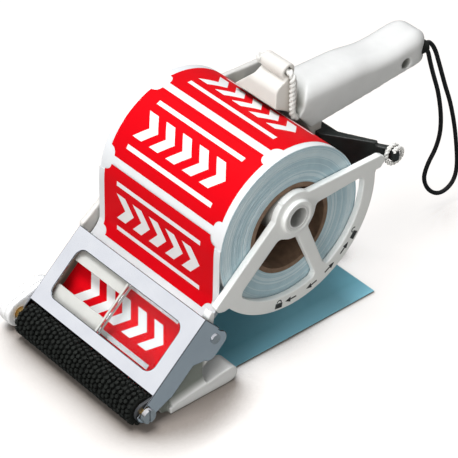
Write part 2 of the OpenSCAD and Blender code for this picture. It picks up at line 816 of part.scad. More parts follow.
// C-shaped guide on the left half of the window, open at its left, and a clear plate on the right half
guide_at = [-50, 5];
guide_size = [47, 41];
guide_depth = 6;
guide_wall = 1.6;
guide_floor = 2;
guide_slot_up = 17.5;
guide_slot_h = 17;
guide_end_w = 3;
plate_at = [-2.4, 5];
plate_size = [52, 41];
plate_depth = 2.8;
module window_guide() {
    color("white") place() on_slope() {
        difference() {
            translate([guide_at.x, guide_at.y, -guide_depth])
                cube([guide_size.x, guide_size.y, guide_depth - sheet_t]);
            translate([guide_at.x - guide_wall, guide_at.y + guide_wall, guide_floor - guide_depth])
                cube([guide_size.x, guide_size.y - 2 * guide_wall, guide_depth]);
            translate([guide_at.x - guide_end_w, guide_slot_up, -guide_depth - 1])
                cube([guide_size.x, guide_slot_h, guide_depth + 2]);
        }
    }
}
module clear_plate() {
    color("lightcyan", 0.35) place() on_slope()
        translate([plate_at.x, plate_at.y, -plate_depth])
            cube([plate_size.x, plate_size.y, plate_depth - sheet_t]);
}
ear_rivet_r = 1.58;
ear_head_r = 3.2;
ear_head_t = 0.9;
module ear_rivet() {
    color("silver") place() {
        rod(ear_pin, ear_rivet_r, flange_in - 0.2, flange_out);
        rod(ear_pin, ear_head_r, flange_out, flange_out + ear_head_t);
    }
}

// Press roller
roller_core_r = 5.98;
roller_screw_r = 4.6;
slot_w = 1.2;
slot_len = 12;
module roller_sleeve() {
    color("#141414") place()
        tube(roller_axis, roller_d / 2, roller_core_r + 0.02, roller_x[0], roller_x[1]);
}
module roller_core() {
    color("silver") place() {
        rod(roller_axis, roller_core_r, roller_x[0], roller_x[1]);
        rod(roller_axis, shaft_r, gear_x[0] - 0.4, bush_end);
    }
}
module roller_gear() {
    color("white") place() gear(roller_axis, teeth_roller, idler_line, shaft_r + 0.01);
}
module roller_screw() {
    color("silver") place() difference() {
        rod(roller_axis, roller_screw_r, bush_end + 0.1, right_out);
        translate([right_out - 1, roller_axis.x - slot_w / 2, roller_axis.y - slot_len / 2])
            cube([2, slot_w, slot_len]);
    }
}

// Feed train
feed_x = [-58, 49];
module idler_gear() {
    color("white") place() gear(idler_axis, teeth_idler, idler_turn, idler_pin_r + run_gap);
}
module feed_shaft() {
    color("silver") place() rod(feed_axis, shaft_r, gear_x[0] - 0.4, bearing_end);
}
module feed_sleeve() {
    color("#303030") place() tube(feed_axis, feed_r, shaft_r + 0.01, feed_x[0], feed_x[1]);
}
module feed_gear() {
    color("white") place() gear(feed_axis, teeth_feed, feed_turn, shaft_r + 0.01);
}
module pressure_shaft() {
    color("silver") place() rod(pressure_axis, pressure_shaft_r, left_panel, bearing_end);
}
module pressure_sleeve() {
    color("#303030") place()
        tube(pressure_axis, pressure_r, pressure_shaft_r + 0.01, feed_x[0], feed_x[1]);
}

// Roll of labels on its core
module label_roll() {
    color("crimson") place() tube(roll_axis, roll_d / 2, core_d / 2, stock_x[0], stock_x[1]);
}
core_proud = 0.1;
module roll_core() {
    color("#8a6a4a") place()
        tube(roll_axis, core_d / 2 - 0.02, core_bore_r, stock_x[0], stock_x[1] + core_proud);
}

// Wheel that closes the open side of the roll
module hub_bush() {
    color("white") place() tube(spindle_axis, hub_bush_r, pin_r + run_gap, wheel_x[0], collar_end - 0.3);
}
rim_cut = [
    spindle_axis, spindle_axis + 90 * unit(217), [-20, -20], [160, -20], [160, 104], [70, 104]
];
rear_arm = [
    [52, 108.6], [130, 108.6], [133.6, 106.6], [134.4, 103], [131, 99.4], [110, 99.1], [86, 97.5], [66, 97]
];
front_arm = [
    [59.6, 108.6], [4.6, 57.9], [4, 56], [6.3, 53], [10.4, 51.8], [15, 52.6], [23.2, 58.5],
    [50.4, 83.5], [66, 97]
];
wheel_spoke = [[64.5, 83], [73.5, 84.8], [90.8, 43], [83.1, 41.5]];
// Inner corners of the wheel: place, directions of the two edges, radius
wheel_corners = [
    [[117.6, 99.2], 184, 273, 4], [[79.2, 97.3], -85, 4, 3], [[73.6, 83.9], -67, 40, 3],
    [[65.6, 80.4], 188, 294, 3], [[52.2, 85.1], 223, 314, 4], [[22, 57.4], -47, 43, 5],
    [[82.2, 43.5], 114, 201, 4], [[89.3, 46.7], 29, 112, 4]
];
module corner_fill(at, a0, a1, r) {
    middle = (a0 + a1) / 2;
    c = at + r / sin((a1 - a0) / 2) * unit(middle);
    polygon(concat([at - unit(middle)], arc(c, r, a0 + 270, a1 + 90, 6)));
}
module wheel_outline() {
    intersection() {
        difference() {
            translate(rim_axis) circle(rim_r);
            translate(rim_axis) circle(rim_r - rim_w);
        }
        polygon(rim_cut);
    }
    polygon(rear_arm);
    polygon(front_arm);
    polygon(wheel_spoke);
    for (c = wheel_corners) corner_fill(c[0], c[1], c[2], c[3]);
    translate(spindle_axis) circle(hub_r);
}
module side_wheel() {
    color("white") place() difference() {
        union() {
            side(wheel_x[0], wheel_x[1]) wheel_outline();
            rod(spindle_axis, collar_r, wheel_x[1] - 1, collar_end);
        }
        rod(spindle_axis, hub_bore_r, wheel_x[0] - 1, collar_end + 1);
    }
}

front_body();
left_side_frame();
rear_rest();
rest_bolts();
rear_bridge();
latch_bow();
bow_screws();
handle_shell();
handle_bottom();
handle_screws();
strap_grommet();
spindle_tube();
spindle_screw();
gear_case();
gear_case_cover();
case_screws();
idler_pin();
label_bed();
peel_plate();
roller_bracket();
bracket_rivets();
bush_right();
bush_left();
label_web();
liner_strip();
liner_tail();
elastic_cord();
wrist_strap();
front_cover();
window_guide();
clear_plate();
ear_rivet();
roller_sleeve();
roller_core();
roller_gear();
roller_screw();
idler_gear();
feed_shaft();
feed_sleeve();
feed_gear();
pressure_shaft();
pressure_sleeve();
label_roll();
roll_core();
hub_bush();
side_wheel();
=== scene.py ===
"""Hand label dispenser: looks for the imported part, in metres, in the part's own frame."""
import json
import math
import random

import bmesh
import bpy
from mathutils import Matrix, Vector


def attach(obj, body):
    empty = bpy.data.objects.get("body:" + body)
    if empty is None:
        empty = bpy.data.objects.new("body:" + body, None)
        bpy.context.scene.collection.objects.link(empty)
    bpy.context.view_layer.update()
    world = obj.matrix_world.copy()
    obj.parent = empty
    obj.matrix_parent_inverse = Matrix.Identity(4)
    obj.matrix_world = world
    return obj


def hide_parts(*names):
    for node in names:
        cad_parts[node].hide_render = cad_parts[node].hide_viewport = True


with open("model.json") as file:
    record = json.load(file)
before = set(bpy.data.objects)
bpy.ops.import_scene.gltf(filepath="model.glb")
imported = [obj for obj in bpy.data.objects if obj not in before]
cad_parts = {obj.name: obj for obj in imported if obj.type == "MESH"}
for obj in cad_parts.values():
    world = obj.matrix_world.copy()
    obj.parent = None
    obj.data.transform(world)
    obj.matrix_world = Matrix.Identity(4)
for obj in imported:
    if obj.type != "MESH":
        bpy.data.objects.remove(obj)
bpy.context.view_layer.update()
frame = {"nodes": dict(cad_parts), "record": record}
nodes = frame["nodes"]
scene = bpy.context.scene
MM = 0.001
# Pieces are given in millimetres, in the measuring frame that the part's source uses
# The camera, the materials' relief and the stage are given in metres
FRAME_SHIFT = Vector((4.75, -74.9, 0.0))


def at(x, y, z):
    """A point of the measuring frame, in metres in the part's frame."""
    return (Vector((x, y, z)) + FRAME_SHIFT) * MM


# Camera at the photograph's angle
CAMERA_AZIMUTH = math.radians(48.3)
CAMERA_ELEVATION = math.radians(36.9)
CAMERA_ROLL = math.radians(1.4)
CAMERA_DISTANCE = 1.3852
CAMERA_LENS = 181.94
CAMERA_SENSOR = 36.0
CAMERA_CLIP = (0.05, 20.0)
CAMERA_TARGET = Vector((0.00635, -0.0149, 0.0569))


def add_camera():
    data = bpy.data.cameras.new("photo_camera")
    data.lens = CAMERA_LENS
    data.sensor_width = CAMERA_SENSOR
    data.clip_start, data.clip_end = CAMERA_CLIP
    camera = bpy.data.objects.new("photo_camera", data)
    scene.collection.objects.link(camera)
    flat = math.cos(CAMERA_ELEVATION)
    back = Vector((
        math.sin(CAMERA_AZIMUTH) * flat,
        -math.cos(CAMERA_AZIMUTH) * flat,
        math.sin(CAMERA_ELEVATION),
    ))
    level = (-back).cross(Vector((0.0, 0.0, 1.0))).normalized()
    upright = level.cross(-back)
    right = math.cos(CAMERA_ROLL) * level + math.sin(CAMERA_ROLL) * upright
    up = -math.sin(CAMERA_ROLL) * level + math.cos(CAMERA_ROLL) * upright
    turn = Matrix((right, up, back)).transposed().to_4x4()
    camera.matrix_world = Matrix.Translation(CAMERA_TARGET + back * CAMERA_DISTANCE) @ turn
    scene.camera = camera


add_camera()

# Node helpers
SOCKET_KINDS = {"value": "NodeSocketFloat", "colour": "NodeSocketColor"}
NOISE_ROUGHNESS = 0.55
# Places of the colour sockets on a mix node: factor, first and second colour, then the result
MIX_INPUTS = (0, 6, 7)
MIX_RESULT = 2


def new_group(name, inputs, outputs):
    """An empty shader group with named sockets; returns the tree, its input node and its output node."""
    tree = bpy.data.node_groups.new(name, "ShaderNodeTree")
    for label, kind in inputs:
        tree.interface.new_socket(name=label, in_out="INPUT", socket_type=SOCKET_KINDS[kind])
    for label, kind in outputs:
        tree.interface.new_socket(name=label, in_out="OUTPUT", socket_type=SOCKET_KINDS[kind])
    return tree, tree.nodes.new("NodeGroupInput"), tree.nodes.new("NodeGroupOutput")


def give(tree, socket, value):
    """Sets a socket to a number or a colour, or links another socket to it."""
    if isinstance(value, (int, float)):
        socket.default_value = value
    elif isinstance(value, tuple):
        socket.default_value = (*value, 1.0)
    else:
        tree.links.new(value, socket)


def noise(tree, vector, scale, detail=4.0):
    made = tree.nodes.new("ShaderNodeTexNoise")
    made.inputs["Detail"].default_value = detail
    made.inputs["Roughness"].default_value = NOISE_ROUGHNESS
    give(tree, made.inputs["Vector"], vector)
    give(tree, made.inputs["Scale"], scale)
    return made.outputs["Fac"]


def maths(tree, operation, a, b):
    made = tree.nodes.new("ShaderNodeMath")
    made.operation = operation
    for socket, value in zip(made.inputs, (a, b)):
        give(tree, socket, value)
    return made.outputs[0]


def remap(tree, value, low, high, to_low, to_high):
    made = tree.nodes.new("ShaderNodeMapRange")
    labels = ("Value", "From Min", "From Max", "To Min", "To Max")
    for label, given in zip(labels, (value, low, high, to_low, to_high)):
        give(tree, made.inputs[label], given)
    return made.outputs["Result"]


def mix_colour(tree, factor, a, b):
    made = tree.nodes.new("ShaderNodeMix")
    made.data_type = "RGBA"
    for index, given in zip(MIX_INPUTS, (factor, a, b)):
        give(tree, made.inputs[index], given)
    return made.outputs[MIX_RESULT]


def object_place(tree):
    return tree.nodes.new("ShaderNodeTexCoord").outputs["Object"]


def seen_directly(tree, path):
    """1 for rays from the eye, also through clear pieces."""
    return maths(tree, "MAXIMUM", path.outputs["Is Camera Ray"], path.outputs["Is Transmission Ray"])


# Skin of a moulded, rolled or coated surface
BROAD_DETAIL = 5.0
BROAD_SHARE = 0.6
FINE_DETAIL = 3.0
FINE_SHARE = 0.4
FINE_SCALE = 14.0
PATCH_RANGE = (0.35, 0.7)
GLOSS_RANGE = (0.3, 0.7)


def make_skin_group():
    """Mottled colour, uneven gloss and fine relief."""
    tree, given, result = new_group(
        "worked_skin",
        [("Colour", "colour"), ("Shade", "colour"), ("Scale", "value"), ("Smooth", "value"),
         ("Rough", "value")],
        [("Colour", "colour"), ("Roughness", "value"), ("Height", "value")],
    )
    source = given.outputs
    place = object_place(tree)
    broad = noise(tree, place, source["Scale"], BROAD_DETAIL)
    fine = noise(tree, place, maths(tree, "MULTIPLY", source["Scale"], FINE_SCALE), FINE_DETAIL)
    patch = remap(tree, broad, *PATCH_RANGE, 0.0, 1.0)
    tone = mix_colour(tree, patch, source["Colour"], source["Shade"])
    broad_part = maths(tree, "MULTIPLY", broad, BROAD_SHARE)
    fine_part = maths(tree, "MULTIPLY", fine, FINE_SHARE)
    blend = maths(tree, "ADD", broad_part, fine_part)
    gloss = remap(tree, blend, *GLOSS_RANGE, source["Smooth"], source["Rough"])
    tree.links.new(tone, result.inputs["Colour"])
    tree.links.new(gloss, result.inputs["Roughness"])
    tree.links.new(fine, result.inputs["Height"])
    return tree


SKIN = make_skin_group()

# Materials
CORNER_SHADE_RANGE = (0.2, 0.85)
CORNER_SHADE_DEPTH = 0.8
OUTLINE_SHADE_RANGE = (0.72, 1.0)
OUTLINE_SHADE_DEPTH = 0.6


def new_material(name):
    material = bpy.data.materials.new(name)
    material.use_nodes = True
    tree = material.node_tree
    return material, tree, tree.nodes["Principled BSDF"]


def relief(tree, shader, height, depth):
    bump = tree.nodes.new("ShaderNodeBump")
    bump.inputs["Strength"].default_value = 1.0
    bump.inputs["Distance"].default_value = depth
    tree.links.new(height, bump.inputs["Height"])
    tree.links.new(bump.outputs["Normal"], shader.inputs["Normal"])


def skin_material(name, colour, shade, scale, gloss, depth, corner=None, **plain):
    """A material made with the skin group, with optional painted shade in its corners, given as the shade's
    reach and colour.
    """
    material, tree, shader = new_material(name)
    skin = tree.nodes.new("ShaderNodeGroup")
    skin.node_tree = SKIN
    labels = ("Colour", "Shade", "Scale", "Smooth", "Rough")
    for label, value in zip(labels, (colour, shade, scale, *gloss)):
        give(tree, skin.inputs[label], value)
    tone = skin.outputs["Colour"]
    # Painted shade: the colour darkens towards the given one where an ambient occlusion finds other surfaces
    # within the reach
    if corner:
        reach, dark = corner
        open_sky = tree.nodes.new("ShaderNodeAmbientOcclusion")
        open_sky.inputs["Distance"].default_value = reach
        corner_shade_share = remap(tree, open_sky.outputs["AO"], *CORNER_SHADE_RANGE, CORNER_SHADE_DEPTH, 0.0)
        tone = mix_colour(tree, corner_shade_share, tone, dark)
    tree.links.new(tone, shader.inputs["Base Color"])
    tree.links.new(skin.outputs["Roughness"], shader.inputs["Roughness"])
    relief(tree, shader, skin.outputs["Height"], depth)
    for label, value in plain.items():
        shader.inputs[label.replace("_", " ")].default_value = value
    return material


def tint(material, factor, tone):
    """Mixes a tone into a material's colour by a factor made in the material's own tree."""
    tree = material.node_tree
    base = tree.nodes["Principled BSDF"].inputs["Base Color"]
    before = base.links[0].from_socket
    tree.links.new(mix_colour(tree, factor, before, tone), base)


def outline_shade(material, grey):
    """Paints shade on a pale surface where it turns away from the eye."""
    tree = material.node_tree
    facing = tree.nodes.new("ShaderNodeLayerWeight").outputs["Facing"]
    tint(material, remap(tree, facing, *OUTLINE_SHADE_RANGE, 0.0, OUTLINE_SHADE_DEPTH), grey)


def light_and_shade_zone(material, bounds, tone):
    """Paints a tone of light or shade over a zone; bounds lists an axis and the two places between which it
    fades in.
    """
    tree = material.node_tree
    parts = tree.nodes.new("ShaderNodeSeparateXYZ")
    tree.links.new(object_place(tree), parts.inputs["Vector"])
    zone = 1.0
    for axis, bare, full in bounds:
        rise = (0.0, 1.0) if full > bare else (1.0, 0.0)
        fade = remap(tree, parts.outputs[axis], min(bare, full), max(bare, full), *rise)
        zone = maths(tree, "MULTIPLY", zone, fade)
    tint(material, zone, tone)


def plain_bounce(material, tone):
    """Light that a strong colour throws on its neighbours takes a milder tone."""
    path = material.node_tree.nodes.new("ShaderNodeLightPath")
    tint(material, path.outputs["Is Diffuse Ray"], tone)


PLASTIC_SCALE = 90
PLASTIC_GLOSS = (0.34, 0.46)
PLASTIC_RELIEF = 0.00004
# Reach and colour of the painted shade in the corners of pale plastics
PLASTIC_CORNER_SHADE = (0.02, (0.30, 0.31, 0.28))


def plastic_material(name, colour, shade, corner=None, specular=0.3):
    """A pale moulded plastic."""
    return skin_material(name, colour, shade, PLASTIC_SCALE, PLASTIC_GLOSS, PLASTIC_RELIEF, corner,
                         Specular_IOR_Level=specular)


white_plastic = plastic_material("white_plastic", (0.80, 0.80, 0.79), (0.76, 0.76, 0.75), PLASTIC_CORNER_SHADE)
# The body's plastic is painted paler than the white plastic, as painted light on the foot, with painted
# shade in its corners
body_plastic = plastic_material("body_plastic", (0.86, 0.86, 0.85), (0.83, 0.83, 0.82),
                                (0.006, (0.42, 0.44, 0.40)))
# The bridge's plastic is painted beige and darker than the white plastic, as painted shade with warm light
# thrown up from the roll, and has lighter painted shade in its corners
bridge_plastic_shaded = plastic_material("bridge_plastic_shaded", (0.80, 0.77, 0.73), (0.76, 0.73, 0.69),
                                  (0.02, (0.56, 0.52, 0.47)))
# The gear case's plastic is painted paler than the white plastic, as painted light, and has no painted shade
# in its corners
case_plastic_lit = plastic_material("case_plastic_lit", (0.95, 0.95, 0.95), (0.92, 0.92, 0.92), specular=0.2)
# The left side frame's plastic is painted beige-grey, as painted shade, with painted shade in its corners
frame_plastic_shaded = plastic_material("frame_plastic_shaded", (0.77, 0.75, 0.72), (0.73, 0.71, 0.68), PLASTIC_CORNER_SHADE)
# The wheel's plastic is painted paler than the white plastic, as painted light on its face
wheel_plastic_lit = plastic_material("wheel_plastic_lit", (0.92, 0.93, 0.91), (0.89, 0.90, 0.88))
# The window guide is painted grey, as painted shade under the cover, with painted shade in its corners
guide_plastic_shaded = skin_material("guide_plastic_shaded", (0.62, 0.62, 0.59), (0.58, 0.58, 0.55), 90, (0.3, 0.4),
                              0.00004, (0.006, (0.16, 0.15, 0.13)), Specular_IOR_Level=0.3)
black_plastic = skin_material("black_plastic", (0.015, 0.018, 0.017), (0.022, 0.025, 0.024), 120,
                              (0.3, 0.44), 0.00006, Specular_IOR_Level=0.35)
gear_plastic = skin_material("gear_plastic", (0.78, 0.76, 0.68), (0.72, 0.70, 0.62), 140, (0.4, 0.55),
                             0.00004)
clear_plastic = skin_material("clear_plastic", (0.93, 0.96, 0.97), (0.9, 0.94, 0.95), 60, (0.03, 0.08),
                              0.00001, Transmission_Weight=1.0, IOR=1.2)
# Painted shade: the white plastic and the wheel grey along their outline
outline_shade(white_plastic, (0.34, 0.36, 0.36))
outline_shade(wheel_plastic_lit, (0.40, 0.42, 0.42))
# The body's cheek lies in the shade of the cover's right side
CHEEK_SHADE = (
    ("X", at(54.2, 0, 0).x, at(54.8, 0, 0).x),
    ("X", at(58.0, 0, 0).x, at(55.3, 0, 0).x),
    ("Y", at(0, -3, 0).y, at(0, -6, 0).y),
    ("Z", 0.027, 0.024),
)
light_and_shade_zone(body_plastic, CHEEK_SHADE, (0.24, 0.26, 0.23))

black_steel = skin_material("black_steel", (0.030, 0.032, 0.036), (0.05, 0.052, 0.056), 160, (0.32, 0.5),
                            0.00006)
bright_steel = skin_material("bright_steel", (0.66, 0.66, 0.67), (0.55, 0.55, 0.57), 300, (0.14, 0.3),
                             0.00003, Metallic=1.0)
chrome = skin_material("chrome", (0.80, 0.82, 0.87), (0.75, 0.77, 0.83), 60, (0.06, 0.13), 0.00001,
                       Metallic=1.0)
# Painted shade: a dark brown metal for the inside of the cover's left end
shaded_chrome = skin_material("shaded_chrome", (0.23, 0.17, 0.14), (0.17, 0.125, 0.10), 90, (0.2, 0.3),
                              0.00002, Metallic=1.0)
# Painted reflection: a dark metal for the cover's rounded edges, for the dark surroundings they would mirror
dark_edge_reflection = skin_material("dark_edge_reflection", (0.13, 0.14, 0.16), (0.09, 0.10, 0.11), 200, (0.2, 0.32), 0.00002,
                          Metallic=1.0)
brass = skin_material("brass", (0.62, 0.42, 0.16), (0.50, 0.33, 0.12), 200, (0.18, 0.34), 0.00003,
                      Metallic=1.0)
# The rubber carries painted shade in the gaps between its knobs
black_rubber = skin_material("black_rubber", (0.018, 0.020, 0.018), (0.012, 0.013, 0.012), 150,
                             (0.45, 0.6), 0.00008, (0.003, (0.001, 0.001, 0.001)), Specular_IOR_Level=0.06)

red_print = skin_material("red_print", (0.72, 0.002, 0.008), (0.68, 0.002, 0.007), 40, (0.4, 0.5), 0.00002,
                          Specular_IOR_Level=0.05)
plain_bounce(red_print, (0.40, 0.34, 0.30))


def paper_material(name, colour, shade, scale, gloss, depth):
    return skin_material(name, colour, shade, scale, gloss, depth, Specular_IOR_Level=0.2)


white_print = paper_material("white_print", (0.86, 0.85, 0.85), (0.83, 0.82, 0.82), 40, (0.4, 0.5), 0.00002)
label_backing = paper_material("label_backing", (0.82, 0.83, 0.84), (0.77, 0.79, 0.81), 50, (0.4, 0.5),
                               0.00003)
web_backing = paper_material("web_backing", (0.82, 0.83, 0.84), (0.77, 0.79, 0.81), 50, (0.4, 0.5), 0.00003)
roll_edge = paper_material("roll_edge", (0.48, 0.65, 0.71), (0.42, 0.58, 0.65), 130, (0.5, 0.65), 0.00004)
pale_edge = paper_material("pale_edge", (0.63, 0.76, 0.80), (0.56, 0.70, 0.75), 130, (0.5, 0.65), 0.00004)
liner_paper = paper_material("liner_paper", (0.22, 0.58, 0.72), (0.20, 0.53, 0.67), 60, (0.34, 0.48),
                             0.00003)
# The web's bare edge lies in shade inside the cover's left end
WEB_SHADE = (("X", at(-53.6, 0, 0).x, at(-54.8, 0, 0).x), ("Z", 0.046, 0.041))
light_and_shade_zone(web_backing, WEB_SHADE, (0.17, 0.12, 0.09))
# Painted light: the liner on the floor is paler towards its right edge, where more light falls
LINER_LIGHT = (("X", at(36, 0, 0).x, at(49, 0, 0).x), ("Z", 0.006, 0.003))
light_and_shade_zone(liner_paper, LINER_LIGHT, (0.36, 0.82, 1.0))

cardboard = skin_material("cardboard", (0.24, 0.15, 0.095), (0.17, 0.105, 0.065), 220, (0.7, 0.9), 0.0002)
white_cord = skin_material("white_cord", (0.88, 0.87, 0.84), (0.80, 0.79, 0.76), 500, (0.6, 0.85), 0.0002)
black_cord = skin_material("black_cord", (0.008, 0.008, 0.009), (0.016, 0.016, 0.017), 600, (0.45, 0.7),
                           0.00015, Specular_IOR_Level=0.2)
mark_ink = skin_material("mark_ink", (0.02, 0.02, 0.02), (0.04, 0.04, 0.04), 300, (0.5, 0.7), 0.00002)

SLOT_MATERIALS = {
    "white_plastic": white_plastic, "black_plastic": black_plastic, "black_steel": black_steel,
    "steel": bright_steel, "chrome": chrome, "brass": brass, "black_rubber": black_rubber,
    "gear_plastic": gear_plastic, "clear_plastic": clear_plastic, "label_paper": label_backing,
    "liner_paper": liner_paper, "cardboard": cardboard, "white_cord": white_cord, "black_cord": black_cord,
}
node_slot = {row["node"]: row["material_slot"] for row in frame["record"]["subparts"]}
node_body = {name: body for body, names in frame["record"]["behaviour"]["bodies"].items() for name in names}
for node_name, node_object in nodes.items():
    node_object.data.materials.clear()
    node_object.data.materials.append(SLOT_MATERIALS[node_slot[node_name]])
nodes["label_web"].data.materials[0] = web_backing

# Piece helpers
MERGE_DISTANCE = 0.000002
FLAT_ANGLE = math.radians(0.6)
SMOOTH_FACTOR = 0.5
EDGE_SEGMENTS = 3
EDGE_ANGLE = math.radians(35)


def add_piece(bm, name, body, materials, stands_for=(), crease=38):
    """A finished piece from a bmesh: smooth with sharp creases, riding on its body."""
    mesh = bpy.data.meshes.new(name)
    bm.to_mesh(mesh)
    bm.free()
    for material in materials:
        mesh.materials.append(material)
    mesh.polygons.foreach_set("use_smooth", [True] * len(mesh.polygons))
    mesh.set_sharp_from_angle(angle=math.radians(crease))
    piece = bpy.data.objects.new(name, mesh)
    scene.collection.objects.link(piece)
    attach(piece, body)
    if stands_for:
        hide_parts(*stands_for)
    return piece


def merged_mesh(node):
    """A bmesh of a node's solid with its loose triangles joined into whole faces."""
    bm = bmesh.new()
    bm.from_mesh(nodes[node].data)
    bmesh.ops.remove_doubles(bm, verts=bm.verts, dist=MERGE_DISTANCE)
    bmesh.ops.dissolve_limit(bm, angle_limit=FLAT_ANGLE, verts=bm.verts, edges=bm.edges)
    return bm


def soft_mesh(node, voxel, turns):
    """A bmesh of a node's solid with even faces and edges as soft as they leave the mould."""
    bm = merged_mesh(node)
    mesh = bpy.data.meshes.new("soft_source")
    bm.to_mesh(mesh)
    bm.free()
    source = bpy.data.objects.new("soft_source", mesh)
    scene.collection.objects.link(source)
    even = source.modifiers.new("even_faces", "REMESH")
    even.mode = "VOXEL"
    even.voxel_size = voxel * MM
    soft = source.modifiers.new("soft_edges", "SMOOTH")
    soft.factor = SMOOTH_FACTOR
    soft.iterations = turns
    done = bmesh.new()
    done.from_object(source, bpy.context.evaluated_depsgraph_get())
    bpy.data.objects.remove(source)
    bpy.data.meshes.remove(mesh)
    return done


def soft_moulding(node, material, voxel, turns, shape=None):
    """A node's own shape as a soft moulding, with an optional change to each of its points."""
    bm = soft_mesh(node, voxel, turns)
    if shape:
        for vert in bm.verts:
            vert.co = shape(vert.co)
    return add_piece(bm, "soft_" + node, node_body[node], [material], (node,), 60)


def moulded(node, material, width):
    """A node's own shape with its edges rounded as they leave the mould or the press."""
    bm = merged_mesh(node)
    piece = add_piece(bm, "rounded_" + node, node_body[node], [material], (node,), 30)
    edge = piece.modifiers.new("rounded_edges", "BEVEL")
    edge.width = width * MM
    edge.segments = EDGE_SEGMENTS
    edge.limit_method = "ANGLE"
    edge.angle_limit = EDGE_ANGLE
    edge.use_clamp_overlap = False
    edge.harden_normals = True
    return piece


# Cords: the wrist strap hangs from the handle, the white cord runs through the lug and round the bow's tip
STRAP_D = 3.0
STRAP_INSET = 0.06
STRAP_STEPS = 4
STRAP_ROUTE = [
    (10.5, 208.6, 133.4), (11, 212.5, 132.2), (11.5, 217, 125.5), (12, 221.5, 113.5), (12, 228.5, 95),
    (12, 234.5, 80), (12, 240, 62), (12, 244, 44), (12, 246.5, 27), (12, 245.5, 17),
    (12, 241, 11.5), (12, 233.5, 10), (12, 226, 13.5), (12, 219.5, 21), (12, 216.5, 30),
    (12, 219, 39), (12, 224.5, 48), (12, 227.5, 58), (12, 227.5, 69), (12, 225.5, 81),
    (12, 222, 94), (11.5, 217.5, 107), (11, 214, 118), (10.8, 211.5, 126), (10.5, 208.6, 129.6),
]
CORD_ROUTE = [
    (-12.6, 96, 157.2), (-11, 96, 158), (-8, 96, 158.3), (0, 96, 158.3), (8, 96, 158.3),
    (11, 96, 158.2), (13, 96, 156.8), (13.7, 96, 153.5), (13.7, 96.1, 147), (13.7, 96.2, 140),
    (13.7, 96.3, 134.5), (13.7, 96.9, 130.2), (13.7, 98.8, 127.6), (13.7, 101.5, 127), (13.7, 106, 127),
]
CORD_STEPS = 12
CORD_BEVEL = 3
STRANDS = 2
STRAND_SIDE = Vector((0.35, 0.8, -0.5))
# Each twisted cord's strands: distance from its line, length of one turn, radius
LUG_STRANDS = (0.95, 6.4, 1.2)
TIP_STRANDS = (0.6, 4.6, 0.85)
LASH_AXIS = (142.8, 102.6)
LASH_R = 5.6
LASH_STEPS = 12
LASH_START = -60
LASH_TURN = 45
LASH_X = 50.2
LASH_ADVANCE = 0.5
KNOT_PLACE = (-14.2, 96.2, 156.2)
KNOT_SIZE = 0.95
KNOT_R = 1.15
KNOT_STEPS = 72


def spline_points(route, steps):
    """Points on a smooth curve through a route, and its closing point."""
    last = len(route) - 1
    points = []
    for i in range(last):
        a, b = route[max(0, i - 1)], route[i]
        c, d = route[i + 1], route[min(last, i + 2)]
        for k in range(steps):
            t = k / steps
            points.append(0.5 * (2 * b + (c - a) * t + (2 * a - 5 * b + 4 * c - d) * t * t
                                 + (3 * b - a - 3 * c + d) * t * t * t))
    points.append(route[last])
    return points


def add_cord_curve(name, lines, radius, slot):
    curve = bpy.data.curves.new(name, "CURVE")
    curve.dimensions = "3D"
    curve.bevel_depth = radius * MM
    curve.bevel_resolution = CORD_BEVEL
    curve.use_fill_caps = True
    for line in lines:
        spline = curve.splines.new("POLY")
        spline.points.add(len(line) - 1)
        for point, place in zip(spline.points, line):
            point.co = (*place, 1.0)
    curve.materials.append(SLOT_MATERIALS[slot])
    cord = bpy.data.objects.new(name, curve)
    scene.collection.objects.link(cord)
    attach(cord, "frame")
    return cord


def twisted_strands(line, offset, pitch):
    """Strands that wind round a line, each at the same distance from it."""
    strands = [[] for _ in range(STRANDS)]
    side = STRAND_SIDE
    travelled = 0.0
    for i, place in enumerate(line):
        ahead = (line[min(len(line) - 1, i + 1)] - line[max(0, i - 1)]).normalized()
        side = (side - side.dot(ahead) * ahead).normalized()
        across = ahead.cross(side)
        if i:
            travelled += (place - line[i - 1]).length
        for k, strand in enumerate(strands):
            turn = math.tau * (travelled / pitch + k / STRANDS)
            strand.append(place + offset * (math.cos(turn) * side + math.sin(turn) * across))
    return strands


def add_twisted_cord(name, route, sizes):
    offset, pitch, radius = sizes
    strands = twisted_strands(spline_points(route, CORD_STEPS), offset * MM, pitch * MM)
    return add_cord_curve(name, strands, radius, "white_cord")


def lash_route():
    """Turns round the bow's tip that advance along it."""
    route = []
    for i in range(LASH_STEPS + 1):
        turn = math.radians(LASH_START + LASH_TURN * i)
        y = LASH_AXIS[0] + LASH_R * math.cos(turn)
        z = LASH_AXIS[1] + LASH_R * math.sin(turn)
        route.append(at(LASH_X + LASH_ADVANCE * i, y, z))
    return route


def knot_line():
    """A closed line that crosses itself three times, as an overhand knot does."""
    points = []
    for k in range(KNOT_STEPS + 1):
        t = math.tau * k / KNOT_STEPS
        shape = Vector((
            -math.sin(3 * t),
            math.sin(t) + 2 * math.sin(2 * t),
            math.cos(t) - 2 * math.cos(2 * t),
        ))
        points.append(at(*KNOT_PLACE) + KNOT_SIZE * MM * shape)
    return points


def add_cords():
    line = spline_points([at(*p) for p in STRAP_ROUTE], STRAP_STEPS)
    strap = add_cord_curve("wrist_cord", [line], STRAP_D / 2 - STRAP_INSET, "black_cord")
    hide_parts("wrist_strap")
    cord = add_twisted_cord("lug_cord", [at(*p) for p in CORD_ROUTE], LUG_STRANDS)
    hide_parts("elastic_cord")
    add_twisted_cord("tip_cord", lash_route(), TIP_STRANDS)
    add_cord_curve("cord_knot", [knot_line()], KNOT_R, "white_cord")


add_cords()

# The middle of the handle's back dips a little
DIP_Y = (142.0, 202.0)
DIP_Z = (126.0, 145.0)
DIP = 3.2
